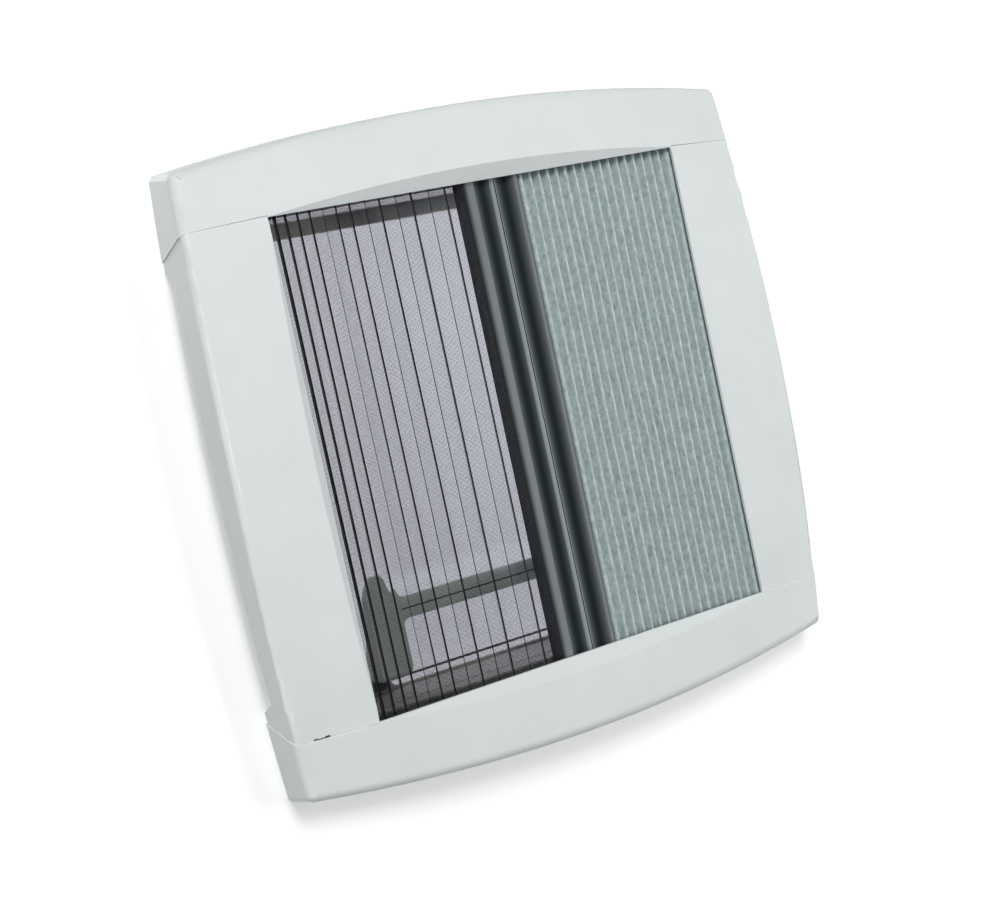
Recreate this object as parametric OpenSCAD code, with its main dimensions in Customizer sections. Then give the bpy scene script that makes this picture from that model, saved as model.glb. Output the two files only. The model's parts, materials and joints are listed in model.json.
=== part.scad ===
// Roof vent for a square cut-out: hinged double dome above the roof,
// room-side trim frame with a pleated flyscreen and a pleated blind below it.
// Millimetres. The origin is the centre of the cut-out on the roof's outer
// surface, +Z points to the sky, and the dome's hinge is on the -Y side.

/* [Roof] */
// Side of the square cut-out in the roof
cutout = 400; // [380:2:430]
// Thickness of the roof between the outer skin and the ceiling
roof_t = 32; // [28:1:45]

/* [Outer frame] */
// Space left between the collar and the cut-out on each side
cut_gap = 1; // [0.5:0.5:3]
// Wall thickness of the collar that lines the cut-out
collar_t = 9; // [8:0.5:12]
// Width of the flange outside the collar
flange_w = 33; // [31:0.5:38]
// Thickness of the flange
flange_t = 4; // [3:0.5:6]
// Height of the upstand above the roof
upstand_h = 18; // [16:0.5:24]
// Thickness of the upstand
upstand_t = 7; // [6:0.5:9]
// Radius of the clear opening's corners
throat_r = 20; // [16:1:30]

/* [Dome] */
// Thickness of each acrylic shell
dome_t = 3; // [2:0.5:4]
// Height of the outer shell above its rim
dome_h = 30; // [24:1:38]
// Height of the inner shell above its rim
inner_h = 14; // [8:1:18]
// Radius of the outer shell's shoulder
shoulder_r = 42; // [34:1:46]
// How far the dome opens
dome_open = 50; // [20:1:55]

/* [Stays] */
// Width of each stay arm
stay_w = 15; // [12:0.5:16]
// Thickness of each stay arm and of each slotted rail
stay_t = 3; // [2:0.5:4]
// Diameter of the stay's sliding pin
stay_pin_d = 6; // [5:0.5:7]
// Play of the sliding pin in its slot on each side
slot_play = 0.4; // [0.3:0.1:0.8]

/* [Bow handle] */
// Distance of the grip bar from the middle of the opening
bow_y = 124.5; // [110:0.5:135]
// Width of each bow arm
bow_arm_w = 28; // [20:1:32]
// Distance of the arms' inner sides from the middle
bow_half = 117; // [90:1:122]
// Width of the grip bar's oval
grip_w = 18; // [12:0.5:20]
// Thickness of the grip bar's oval
grip_t = 11; // [8:0.5:13]

/* [Trim frame] */
// Depth of the trim frame from the screen edge to the ceiling
trim_depth = 46; // [44:1:60]
// Depth of the side panels' outer walls between their feet
panel_depth = 31; // [22:1:38]
// Width of a side panel at its ends
panel_w = 64; // [60:1:80]
// How far a side panel's outer edge bows out in its middle
panel_bow = 9; // [4:0.5:14]
// How far a side panel's face rises in its middle
panel_rise = 6; // [4:0.5:8]
// Height of an end cap at its ends
cap_h = 43; // [38:1:56]
// How far an end cap's outer edge bows out in its middle
cap_bow = 18; // [10:0.5:24]
// How far an end cap's face rises in its middle
cap_rise = 7; // [4:0.5:9]
// How far the end caps' faces stand in front of the side panels' faces
cap_proud = 1; // [0.5:0.1:1.5]
// Slope of the flat border beside the screens
border_slope = 32; // [28:1:40]
// Wall thickness of the trim mouldings
trim_t = 2.2; // [2:0.1:3]
// Radius of the side panels' outer front edges
edge_r = 5; // [3.5:0.5:6]
// Radius of the end caps' outer edges and corners
cap_edge_r = 8; // [6:0.5:10]
// Angle at which the end caps' outer walls lean outward to the ceiling
cap_draft = 5.5; // [2:0.5:8]
// How far the end caps' ends stand out beside the side panels
cap_over = 1.2; // [0.6:0.1:2]
// How far the joint between panel and cap leans from face to ceiling
seam_lean = 18; // [10:1:26]
// Gap at the joints between the four trim mouldings
seam_gap = 0.3; // [0.2:0.1:0.6]

/* [Screens] */
// Number of pleats in the flyscreen
mesh_pleats = 14; // [10:1:18]
// Depth of the flyscreen's pleats
mesh_depth = 12; // [8:0.5:12]
// Share by which the pleats widen from the fixed end to the bar
mesh_spread = 0.34; // [0:0.02:0.5]
// Number of pleats in the blind
blind_pleats = 17; // [12:1:20]
// Depth of the blind's pleats
blind_depth = 9.5; // [7:0.5:12]
// Position of the joint between the two pull bars
bars_x = 12.5; // [0:0.5:25]
// Width of the flyscreen's pull bar
mesh_bar_w = 28.2; // [24:0.2:32]
// Width of the blind's pull bar
blind_bar_w = 25.2; // [22:0.2:30]
// Depth of both pull bars
bar_d = 16.5; // [15:0.5:18]
// Radius of the finger groove along each pull bar
groove_r = 11; // [10:0.5:13]
// Depth of the finger groove
groove_d = 5; // [3:0.5:6]
// Depth of the guide rails across the opening's edge
rail_w = 13; // [12:0.5:15]
// Wall thickness of the guide rails
rail_t = 1.5; // [1.2:0.1:2]

/* [Fasteners] */
// Diameter of the clamp screws
screw_d = 3.7; // [3:0.1:4.2]
// Diameter of the hinge pins
hinge_pin_d = 5; // [4:0.5:6]

/* [Hidden] */

// Half the clear opening, which the collar, the mounting frame and the trim share
op = cutout / 2 - cut_gap - collar_t;
collar_out = op + collar_t;

// Heights of the main planes
collar_gap = 3;
z_ceiling = -roof_t;
z_face = z_ceiling - trim_depth;
seal_h = 6.2;
free_gap = 0.3;
z_dome = upstand_h + seal_h + free_gap;
dome_frame_t = 5.5;
z_rim = z_dome + dome_frame_t;

// Dome outline and skirt
dome_in = 12;
dome_out = 34;
skirt_t = 3;
skirt_h = 18;
rim_end = op + 32;
shell_half = op + 6;
shell_corner = shoulder_r + 8;
inner_half = op - 4;
inner_corner = 40;

// Hinge line, in the dome's outer edge
hinge_y = -(op + dome_out + 5);
hinge_z = 15;
hinge_x = 130;
hinge_screw_x = 24.5;
leaf_half = 30;
knuckle_r = 5;
knuckle_l = 19;
knuckle_gap = 0.5;
run_gap = 0.05;

// Each stay turns about a point that is as far from the hinge line as its
// sliding pin. By the inscribed angle the pin then stays on one straight
// line through the hinge while the stay turns twice as far as the dome.
stay_c = [op - 66, 4];
stay_mid = ([hinge_y, hinge_z] + stay_c) / 2;
stay_dir = (stay_c - [hinge_y, hinge_z]) / norm(stay_c - [hinge_y, hinge_z]);
stay_low = 8;
stay_p = stay_mid + stay_low * [stay_dir[1], -stay_dir[0]];
stay_len = norm(stay_c - stay_p);
stay_reach = norm(stay_c - [hinge_y, hinge_z]);
stay_first = asin(stay_low / stay_len);
slot_end = 2 * stay_len * cos(dome_open + stay_first);
slot_tilt = atan2(stay_dir[1], stay_dir[0]);
slot_r = stay_pin_d / 2 + slot_play;
stay_x = op - 15;
rail_x = stay_x - 2 - stay_t;
rivet_r = 4;

// Bow handle
bow_q = [op - 20, 8];
bow_z = -8;
bow_tip = bow_y - 31;
bow_pin_r = 2.5;
bow_knuckle = 6;
bow_flat = bow_z - grip_t / 2;
bracket_w = 8;
bracket_x = bow_half + bow_arm_w / 2;

// Slopes of the cap and panel faces across their widths
cap_fall = 3.5;
panel_fall = 4.9;

// Room-side mounting frame and guide rails
plate_t = 3;
plate_half = op + 34;
rail_in = op + 2;
rail_out = rail_in + rail_w;
rail_front = z_face + trim_t + (rail_out - op) * tan(panel_fall) + 0.2;
rail_back = rail_front + 22.5;
skin_t = 1.4;
screw_line = op + collar_t / 2;
screw_spread = 100;

// Screens: bars and cloths lie between these planes
cloth_front = rail_front + rail_t + 0.3;
bar_front = cloth_front - 1;
cloth_t = 0.6;
fold_t = 1.1;
bar_half = rail_in - 0.6;
cloth_half = rail_in + 3;
glide_gap = 0.6;
cord_r = 0.5;
cord_places = [[rail_in + 6, bar_front + 5.5], [rail_in + 6, bar_front + 10.5]];
mesh_bar_x = bars_x - mesh_bar_w;
blind_bar_x = bars_x + blind_bar_w;
bars_gap = 0.6;

// Trim outline and crown
cap_half = op + panel_w;
panel_half = op + cap_h;
cap_sag = cap_rise * pow(cap_half / op, 2);
panel_sag = panel_rise * pow(panel_half / op, 2);
cap_apex = [op + cap_h + cap_bow, z_face - cap_rise - cap_proud + (cap_h + cap_bow) * tan(cap_fall)];
panel_apex = [op + panel_w + panel_bow, z_face - panel_rise + (panel_w + panel_bow) * tan(panel_fall)];
seam_front = op + 1.3;
foot_w = 7.5;
foot_flare = 7;
release_slot = [12, 1.8];
release_slot_x = cap_half - 27;

white = [0.87, 0.90, 0.89];
grey_green = [0.47, 0.53, 0.52];
pale_green = [0.66, 0.71, 0.70];
black = [0.12, 0.12, 0.13];
steel = [0.72, 0.73, 0.74];
smoke = [0.78, 0.80, 0.86, 0.5];

// Radius of the arc with a given half chord and rise
function arc_radius(chord, rise) = (chord * chord + rise * rise) / (2 * rise);

// Rectangle with rounded corners, given its half sides
module rounded(half_x, half_y, r) {
    for (x = [-1, 1], y = [-1, 1])
        translate([x * (half_x - r), y * (half_y - r)]) circle(r, $fn = 72);
    square([2 * (half_x - r), 2 * half_y], center = true);
    square([2 * half_x, 2 * (half_y - r)], center = true);
}

// Sweeps a section round a square with rounded corners. The section's first
// axis points outward from the path and its second axis up.
module ring(half, r) {
    for (turn = [0:90:270]) rotate(turn) {
        translate([half, r - half, 0]) rotate([90, 0, 180]) mirror([1, 0, 0])
            linear_extrude(2 * (half - r)) children();
        translate([half - r, half - r, 0])
            rotate_extrude(angle = 90, $fn = 96) translate([r, 0]) children();
    }
}

// Extrudes a (y, z) section along X between two places
module along_x(x0, x1) {
    translate([x0, 0, 0]) rotate([90, 0, 90]) linear_extrude(x1 - x0) children();
}

// Extrudes an (x, z) section along Y, centred
module along_y(half) {
    translate([0, half, 0]) rotate([90, 0, 0]) linear_extrude(2 * half) children();
}

// Copies to the left and right side
module both_sides() {
    children();
    mirror([1, 0, 0]) children();
}

// Outer frame

module outer_frame_section() {
    polygon([
        [0, z_ceiling + collar_gap], [collar_t, z_ceiling + collar_gap], [collar_t, 0], [collar_t + flange_w, 0],
        [collar_t + flange_w, flange_t - 1.5], [collar_t + flange_w - 1.5, flange_t],
        [collar_t + 10, flange_t], [collar_t + 10, flange_t + 7], [collar_t + 7, flange_t + 7],
        [collar_t + 7, flange_t], [upstand_t, flange_t], [upstand_t, upstand_h], [0, upstand_h]
    ]);
}

module outer_frame() {
    pilot = screw_d / 2 + run_gap;
    color(white) difference() {
        union() {
            ring(op, throat_r) outer_frame_section();
            both_sides() translate([hinge_x - leaf_half - 2, hinge_y - 11, 0]) cube([2 * leaf_half + 4, 12, flange_t]);
        }
        screw_places() translate([0, 0, z_ceiling + 1]) cylinder(h = 23, r = pilot, $fn = 32);
        hinge_screw_places() translate([0, 0, -1]) cylinder(h = flange_t + 2, r = 1.6, $fn = 24);
    }
}

module dome_seal() {
    color(black) ring(op, throat_r) {
        translate([0.5, upstand_h]) square([upstand_t - 1, 2]);
        translate([upstand_t / 2, upstand_h + seal_h - 3]) circle(3, $fn = 32);
    }
}

module screw_places() {
    for (turn = [0:90:270]) rotate(turn)
        for (along = [-screw_spread, screw_spread]) translate([screw_line, along, 0]) children();
}

module clamp_screws() {
    color(steel) screw_places() {
        translate([0, 0, z_ceiling - plate_t]) cylinder(h = 22, r = screw_d / 2, $fn = 32);
        translate([0, 0, z_ceiling - plate_t - 2.4]) cylinder(h = 2.4, r = screw_d / 2 + 1, $fn = 32);
    }
}

// Hinges

module knuckle(x0, x1, bore) {
    along_x(x0, x1) translate([hinge_y, hinge_z]) difference() {
        circle(knuckle_r, $fn = 48);
        circle(bore, $fn = 48);
    }
}

module hinge_screw_places() {
    for (x = [-hinge_x, hinge_x], shift = [-hinge_screw_x, hinge_screw_x])
        translate([x + shift, hinge_y - 5, 0]) children();
}

module hinge_leaf_frame() {
    near = knuckle_l / 2 + knuckle_gap;
    bore = hinge_pin_d / 2 + 0.02;
    color(black) both_sides() difference() {
        union() {
            translate([hinge_x - leaf_half, hinge_y - 10, flange_t]) cube([2 * leaf_half, 11, 2.5]);
            for (x0 = [hinge_x - near - 10, hinge_x + near]) {
                knuckle(x0, x0 + 10, bore);
                along_x(x0, x0 + 10) difference() {
                    polygon([
                        [hinge_y - 6, flange_t + 2], [hinge_y + 1, flange_t + 2],
                        [hinge_y + 4.6, hinge_z - 2], [hinge_y - 4.6, hinge_z - 2]
                    ]);
                    translate([hinge_y, hinge_z]) circle(knuckle_r - 0.5, $fn = 48);
                }
            }
        }
        for (shift = [-hinge_screw_x, hinge_screw_x]) translate([hinge_x + shift, hinge_y - 5, flange_t - 1])
            cylinder(h = 5, r = 1.7, $fn = 24);
    }
}

module hinge_pins() {
    reach = knuckle_l / 2 + knuckle_gap + 10;
    color(steel) both_sides() {
        along_x(hinge_x - reach, hinge_x + reach)
            translate([hinge_y, hinge_z]) circle(hinge_pin_d / 2, $fn = 48);
        for (x0 = [hinge_x - reach - 1.2, hinge_x + reach])
            along_x(x0, x0 + 1.2) translate([hinge_y, hinge_z]) circle(hinge_pin_d / 2 + 1, $fn = 48);
    }
}

module hinge_screws() {
    color(steel) hinge_screw_places() {
        translate([0, 0, 0.5]) cylinder(h = flange_t + 2, r = 1.5, $fn = 24);
        translate([0, 0, flange_t + 2.5]) cylinder(h = 1.6, r = 3, $fn = 32);
    }
}

module hinge_leaf_dome() {
    skirt_y = -(op + dome_out);
    color(black) both_sides() {
        knuckle(hinge_x - knuckle_l / 2, hinge_x + knuckle_l / 2, hinge_pin_d / 2 + run_gap);
        along_x(hinge_x - knuckle_l / 2, hinge_x + knuckle_l / 2) difference() {
            polygon([
                [hinge_y + 1, hinge_z - 3.5], [skirt_y, hinge_z - 1.5], [skirt_y, z_rim],
                [skirt_y - 2.5, z_rim], [skirt_y - 2.5, hinge_z + 7], [hinge_y, hinge_z + 4.5]
            ]);
            translate([hinge_y, hinge_z]) circle(knuckle_r - 0.5, $fn = 48);
        }
    }
}

// Dome

// Its inner ledge is cut back between the bow's brackets, where the hand goes
module dome_frame() {
    ledge_left = 1.5;
    cut_half = bracket_x - bracket_w / 2 - 8;
    color(grey_green) difference() {
        ring(op, throat_r) polygon([
            [-dome_in, z_dome + 1], [-dome_in + 1, z_dome], [dome_out - skirt_t, z_dome],
            [dome_out - skirt_t, z_rim - skirt_h], [dome_out, z_rim - skirt_h],
            [dome_out, z_rim - 1], [dome_out - 1, z_rim], [-dome_in, z_rim]
        ]);
        translate([0, op - ledge_left - 30, z_dome - 1]) linear_extrude(dome_frame_t + 2) rounded(cut_half, 30, 6);
    }
}

// Half section of a blown shell: rim, wall and rounded shoulder
module shell_section(reach, shoulder, height, base) {
    centre = [-shoulder, base + height - shoulder];
    rim_start = -shoulder
        + sqrt(pow(shoulder - dome_t / 2, 2) - pow(base - centre[1] + dome_t / 2, 2));
    intersection() {
        translate(centre) difference() {
            circle(shoulder, $fn = 96);
            circle(shoulder - dome_t, $fn = 96);
        }
        translate([-shoulder, max(base, centre[1])]) square([shoulder + 1, height + 1]);
    }
    if (centre[1] > base) translate([-dome_t, base]) square([dome_t, centre[1] - base]);
    translate([rim_start, base]) square([reach - rim_start, dome_t]);
}

module shell(half, corner, reach, shoulder, height, base) {
    ring(half, corner) shell_section(reach, shoulder, height, base);
    translate([0, 0, base + height - dome_t])
        linear_extrude(dome_t) rounded(half - shoulder, half - shoulder, corner - shoulder);
}

module dome_inner_shell() {
    color(smoke) shell(inner_half, inner_corner, rim_end - inner_half, inner_h + 3, inner_h, z_rim);
}

module dome_outer_shell() {
    color(smoke) shell(shell_half, shell_corner, rim_end - shell_half, shoulder_r, dome_h + dome_t, z_rim + dome_t);
}

// Stays

module slot_line(r) {
    translate([hinge_y, hinge_z]) rotate(slot_tilt) translate([r, 0]) children();
}

module stay_rail() {
    top = z_dome - 4;
    color(black) {
        along_x(rail_x, rail_x + stay_t) difference() {
            union() {
                slot_line(slot_end - 11) translate([0, -9])
                    square([stay_reach - slot_end + 22, 13]);
                translate([hinge_y + slot_end - 8, hinge_z - 12])
                    square([stay_reach - slot_end + 16, top - hinge_z + 12]);
            }
            slot_line(slot_end) circle(slot_r, $fn = 48);
            slot_line(stay_reach) circle(slot_r, $fn = 48);
            slot_line(slot_end) translate([0, -slot_r]) square([stay_reach - slot_end, 2 * slot_r]);
            for (share = [0.35, 0.7]) slot_line(slot_end + share * (stay_reach - slot_end))
                translate([0, -1.2]) circle(slot_r, $fn = 48);
            translate([hinge_y, top]) square([2 * stay_reach, 30]);
        }
        translate([rail_x, hinge_y + slot_end - 8, top])
            cube([op - 4 - rail_x, stay_reach - slot_end + 16, 4]);
    }
}

module stay_rail_left() { mirror([1, 0, 0]) stay_rail(); }
module stay_rail_right() { stay_rail(); }

module stay_rail_screws() {
    color(steel) both_sides() for (share = [0.12, 0.88])
        translate([op - 8, hinge_y + slot_end + share * (stay_reach - slot_end), z_dome - 5.6])
            cylinder(h = 1.6, r = 3, $fn = 32);
}

module stay_arm() {
    color(steel) along_x(stay_x, stay_x + stay_t) difference() {
        union() {
            translate(stay_p) circle(stay_w / 2, $fn = 72);
            translate(stay_c) circle(stay_w / 2, $fn = 72);
            translate(stay_p) rotate(atan2(stay_c[1] - stay_p[1], stay_c[0] - stay_p[0]))
                translate([0, -stay_w / 2 + 0.05]) square([stay_len, stay_w - 0.1]);
        }
        translate(stay_p) circle(rivet_r + run_gap, $fn = 72);
        translate(stay_c) circle(stay_pin_d / 2, $fn = 72);
    }
}

module stay_pin() {
    head = rail_x - 2.2;
    color(steel) {
        along_x(head + 1.6, stay_x + stay_t) translate(stay_c) circle(stay_pin_d / 2, $fn = 48);
        along_x(head, head + 1.6) translate(stay_c) circle(stay_pin_d / 2 + 2, $fn = 48);
        along_x(stay_x - 1.5, stay_x) translate(stay_c) circle(stay_pin_d / 2 + 1.5, $fn = 48);
    }
}

module stay_arm_left() { mirror([1, 0, 0]) stay_arm(); }
module stay_arm_right() { stay_arm(); }
module stay_pin_left() { mirror([1, 0, 0]) stay_pin(); }
module stay_pin_right() { stay_pin(); }

module stay_bosses() {
    color(white) both_sides() difference() {
        along_x(stay_x + stay_t + 0.5, op) translate(stay_p) circle(stay_w / 2, $fn = 48);
        along_x(stay_x + stay_t, op - 2) translate(stay_p) circle(2.5, $fn = 48);
    }
}

module stay_rivets() {
    color(steel) both_sides() {
        along_x(stay_x - 0.3, stay_x + stay_t + 0.5) translate(stay_p) circle(rivet_r, $fn = 72);
        along_x(stay_x - 1.9, stay_x - 0.3) translate(stay_p) circle(rivet_r + 2, $fn = 48);
        along_x(stay_x + stay_t + 0.5, op - 2) translate(stay_p) circle(2.5, $fn = 48);
    }
}

// Catches that hold the closed dome down

catch_x = op - throat_r - 9;
catch_in = op - 8;

module catch_sockets() {
    color(black) both_sides() difference() {
        union() {
            translate([catch_x - 9, catch_in, 4]) cube([18, 8, 4]);
            translate([catch_x, catch_in, 4]) cylinder(h = 4, r = 9, $fn = 48);
            translate([catch_x - 9, op - 2, -8]) cube([18, 2, 12]);
        }
        translate([catch_x, catch_in, 3]) cylinder(h = 6, r = 4.6, $fn = 48);
        translate([catch_x - 12, op, 0]) cube([24, 12, 12]);
    }
}

module catch_studs() {
    color(black) both_sides() translate([catch_x, catch_in, 0]) {
        translate([0, 0, 10]) cylinder(h = z_dome - 10, r = 2.4, $fn = 48);
        translate([0, 0, 2]) cylinder(h = 4, r1 = 2, r2 = 3.6, $fn = 48);
        translate([0, 0, 6]) cylinder(h = 4, r1 = 3.6, r2 = 2.4, $fn = 48);
        translate([0, 0, z_dome - 2]) cylinder(h = 2, r = 6, $fn = 48);
    }
}

// Bow handle

module bow_brackets() {
    color(black) both_sides() along_x(bracket_x - bracket_w / 2, bracket_x + bracket_w / 2)
        difference() {
            union() {
                translate(bow_q) circle(bow_knuckle, $fn = 48);
                polygon([
                    bow_q + [-6, 0], bow_q + [6, 0], [op - 2, z_dome - 4], [op - 2, z_dome],
                    [op - dome_in + 0.5, z_dome], bow_q + [-6, 7]
                ]);
            }
            translate(bow_q) circle(bow_pin_r + run_gap, $fn = 48);
        }
}

module bow_side_view() {
    translate(bow_q) circle(bow_knuckle, $fn = 48);
    difference() {
        polygon([
            bow_q + [-2, 5.6], [bow_y + 8, bow_z + 5], [bow_y - 8, bow_z + 3.5],
            [bow_tip + 3, bow_z + 2], [bow_tip, bow_z - 1], [bow_tip + 4, bow_flat + 1],
            [bow_y - 10, bow_flat], [bow_q[0] + 3, bow_flat], [bow_q[0] + 6, bow_flat + 3],
            bow_q + [bow_knuckle, 0]
        ]);
        translate(bow_q) circle(bow_knuckle - 0.5, $fn = 48);
    }
}

// Arm seen from below: a narrow tip beyond the grip bar and a rounded foot
module bow_plan() {
    foot_r = 8;
    foot_end = bow_q[0] + 7;
    translate([foot_r, foot_end - foot_r]) circle(foot_r, $fn = 64);
    translate([foot_r, foot_end - foot_r]) square([bow_arm_w - foot_r, foot_r]);
    translate([0, bow_y - grip_w / 2]) square([bow_arm_w, foot_end - foot_r - bow_y + grip_w / 2]);
    polygon([
        [0, bow_y - grip_w / 2], [7, bow_y - grip_w / 2 - 8], [10, bow_tip + 1], [12, bow_tip - 1],
        [19, bow_tip - 1], [bow_arm_w - 3, bow_tip + 8], [bow_arm_w, bow_tip + 16], [bow_arm_w, bow_y - grip_w / 2]
    ]);
}

// Coves that widen the grip bar where it meets an arm
module bow_coves() {
    cove_r = 9;
    for (side = [-1, 1]) translate([bow_half, bow_y + side * (grip_w / 2 - 1.2), bow_z - grip_t * 0.3])
        linear_extrude(grip_t * 0.6) difference() {
            translate([-cove_r, side < 0 ? -cove_r : 0]) square([cove_r + 0.5, cove_r]);
            translate([-cove_r, side * cove_r]) circle(cove_r, $fn = 64);
        }
}

module bow_arm() {
    bracket_slot = bracket_x - bracket_w / 2 - 0.5;
    color(grey_green) difference() {
        union() {
            intersection() {
                along_x(bow_half, bow_half + bow_arm_w) bow_side_view();
                translate([bow_half, 0, -60]) linear_extrude(120) bow_plan();
            }
            bow_coves();
        }
        along_x(bow_half - 1, bow_half + bow_arm_w + 1) translate(bow_q) circle(bow_pin_r, $fn = 48);
        translate([bracket_slot, bow_q[0] - 9, bow_flat + 4]) cube([bracket_w + 1, 40, 60]);
        along_x(bow_half - 20, bow_half) translate([bow_y, bow_z]) grip_section();
    }
}

module bow_arm_left() { mirror([1, 0, 0]) bow_arm(); }
module bow_arm_right() { bow_arm(); }

module grip_section() {
    flat = grip_w - grip_t;
    for (side = [-1, 1]) translate([side * flat / 2, 0]) circle(grip_t / 2, $fn = 64);
    square([flat, grip_t], center = true);
}

// The grip bar's two shells meet along a groove in its lower face
module bow_grip_bar() {
    color(grey_green) along_x(-bow_half, bow_half) translate([bow_y, bow_z]) difference() {
        grip_section();
        translate([0, -grip_t / 2]) square([1.2, 3], center = true);
    }
}

module bow_pins() {
    color(steel) both_sides() {
        along_x(bow_half, bow_half + bow_arm_w) translate(bow_q) circle(bow_pin_r, $fn = 48);
        along_x(bow_half - 1, bow_half) translate(bow_q) circle(bow_pin_r + 1.2, $fn = 48);
    }
}

// Room-side mounting frame

module mounting_frame() {
    color(white) difference() {
        union() {
            translate([0, 0, z_ceiling - plate_t]) linear_extrude(plate_t) difference() {
                rounded(plate_half, plate_half, 12);
                rounded(op, op, throat_r);
            }
            translate([0, 0, rail_back]) linear_extrude(z_ceiling - plate_t - rail_back) {
                difference() {
                    rounded(op + skin_t, op + skin_t, throat_r + skin_t);
                    rounded(op, op, throat_r);
                }
                difference() {
                    rounded(rail_out, rail_out, 6);
                    rounded(rail_out - 3, rail_out - 3, 3);
                }
                for (turn = [0:90:270], along = [-150, -50, 50, 150]) rotate(turn)
                    translate([op + skin_t / 2, along - 1]) square([rail_out - op - 2, 2]);
            }
        }
        screw_places() translate([0, 0, z_ceiling - plate_t - 1])
            cylinder(h = plate_t + 2, r = screw_d / 2 + 0.3, $fn = 32);
    }
}

// Guide rails

module rail_section() {
    difference() {
        translate([rail_in, rail_front]) square([rail_w, rail_back - rail_front]);
        translate([rail_in - 1, rail_front + rail_t])
            square([rail_w + 1 - rail_t, rail_back - rail_front - 2 * rail_t]);
    }
}

module guide_rail_opening_side() {
    color(white) along_x(-rail_in, rail_in) rail_section();
}

module guide_rail_hinge_side() {
    mirror([0, 1, 0]) guide_rail_opening_side();
}

module end_rail() {
    height = rail_back - rail_front;
    color(white) difference() {
        translate([rail_in, -rail_out, rail_front]) cube([rail_w, 2 * rail_out, height]);
        translate([rail_in + rail_t, -rail_out - 1, rail_front + rail_t])
            cube([rail_w - 2 * rail_t, 2 * rail_out + 2, height - 2 * rail_t]);
    }
}

module flyscreen_end_rail() { mirror([1, 0, 0]) end_rail(); }
module blind_end_rail() { end_rail(); }

module tension_cords() {
    color(black) for (side = [-1, 1], place = cord_places)
        along_x(-rail_in, rail_in) translate([side * place[0], place[1]]) circle(cord_r, $fn = 16);
}

// Trim mouldings

// Sweeps a section along a shallow arc that bows in plan and rises in
// elevation at once, so its arc lies in a tilted plane. The section is in
// (outward, up) and starts at the apex of the arc.
module bowed_sweep(apex, chord, plan_rise, face_rise) {
    tilt = atan2(face_rise, plan_rise);
    radius = arc_radius(chord, norm([plan_rise, face_rise]));
    half_angle = asin((chord + 24) / radius);
    translate([0, apex[0], apex[1]]) rotate([-tilt, 0, 0]) rotate(90) translate([-radius, 0, 0])
        rotate(-half_angle) rotate_extrude(angle = 2 * half_angle, $fn = 720)
            translate([radius, 0]) rotate(tilt) children();
}

// Centre of a circle that touches a falling face and a leaning wall, which
// meet in a sharp edge at the origin
function touching_centre(r, fall, draft) =
    r / cos(fall + draft) * [sin(draft) - cos(fall), cos(draft) - sin(fall)];

// Leaning outer wall, rounded front edge and sloping face, as one solid
// section. Its wall and face lie the inset's distance inside the full
// section's, and it reaches past it at the back and inside. The circle is a
// hair larger than one that touches both lines, so that it crosses them.
module face_section(fall, draft, r, inset, inner_w) {
    inside = inner_w + inset;
    depth = trim_depth + 30 + inset;
    round_r = max(r - inset, 0.6);
    centre = touching_centre(round_r + inset, fall, draft);
    face_end = centre + round_r * [sin(fall), -cos(fall)];
    wall_end = centre + round_r * [cos(draft), -sin(draft)];
    polygon([
        [-inside, depth], [-inside, face_end[1] - (inside + face_end[0]) * tan(fall)], face_end, centre, wall_end,
        [wall_end[0] + (depth - wall_end[1]) * tan(draft), depth]
    ]);
    translate(centre) circle(round_r + 0.004, $fn = 64);
}

module cap_skin(inset) {
    bowed_sweep(cap_apex, cap_half, cap_bow, cap_sag)
        face_section(cap_fall, cap_draft, cap_edge_r, inset, cap_h + cap_bow + 40);
}

module panel_skin(inset) {
    rotate(-90) bowed_sweep(panel_apex, panel_half, panel_bow, panel_sag)
        face_section(panel_fall, 0, edge_r, inset, panel_w + panel_bow + 12);
}

// Skin of a cap's side. Its face keeps just in front of the cap's own face.
module cap_side_skin(inset) {
    rotate(-90) bowed_sweep(cap_side_apex, panel_half, panel_bow, cap_side_sag)
        face_section(cap_side_fall, 0, cap_edge_r, inset, panel_w + panel_bow + 12);
}

// Everything outside the sides of a cap
module outside_cap_sides(inset) {
    both_sides() difference() {
        translate([op, op - 90, z_face - 60]) cube([120, 220, 200]);
        cap_side_skin(inset);
    }
}

// Everything in front of the flat border that slopes up from the screen's edge
module front_of_border(inset) {
    near = -30;
    far = 90;
    front = z_face + inset / cos(border_slope);
    polygon([
        [op + near, front - near * tan(border_slope)], [op + near, z_face - 80],
        [op + far, z_face - 80], [op + far, front - far * tan(border_slope)]
    ]);
}

// Where a spot of a bowed section lies at a distance along the bow, as
// [outward, up], given the spot's place in the section
function on_bow(apex, chord, plan_rise, face_rise, spot, along) =
    let (
        tilt = atan2(face_rise, plan_rise),
        radius = arc_radius(chord, norm([plan_rise, face_rise])),
        reach = radius + spot[0] * cos(tilt) - spot[1] * sin(tilt),
        lift = spot[0] * sin(tilt) + spot[1] * cos(tilt),
        back = sqrt(reach * reach - along * along) - radius
    )
    [apex[0] + back * cos(tilt) + lift * sin(tilt), apex[1] - back * sin(tilt) + lift * cos(tilt)];

// Centre lines of the roundings along a cap's front edge and along its side
function cap_edge_line(x) =
    on_bow(cap_apex, cap_half, cap_bow, cap_sag, touching_centre(cap_edge_r, cap_fall, cap_draft), x);
function cap_side_line(y, height) =
    on_bow([cap_side_out, height], panel_half, panel_bow, cap_side_sag,
        touching_centre(cap_edge_r, cap_side_fall, 0), y);

// The two lines meet in the centre of the ball that rounds the corner
function corner_x(tries) = tries == 0 ? cap_half - cap_edge_r
    : cap_side_line(cap_edge_line(corner_x(tries - 1))[0], 0)[0];

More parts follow.
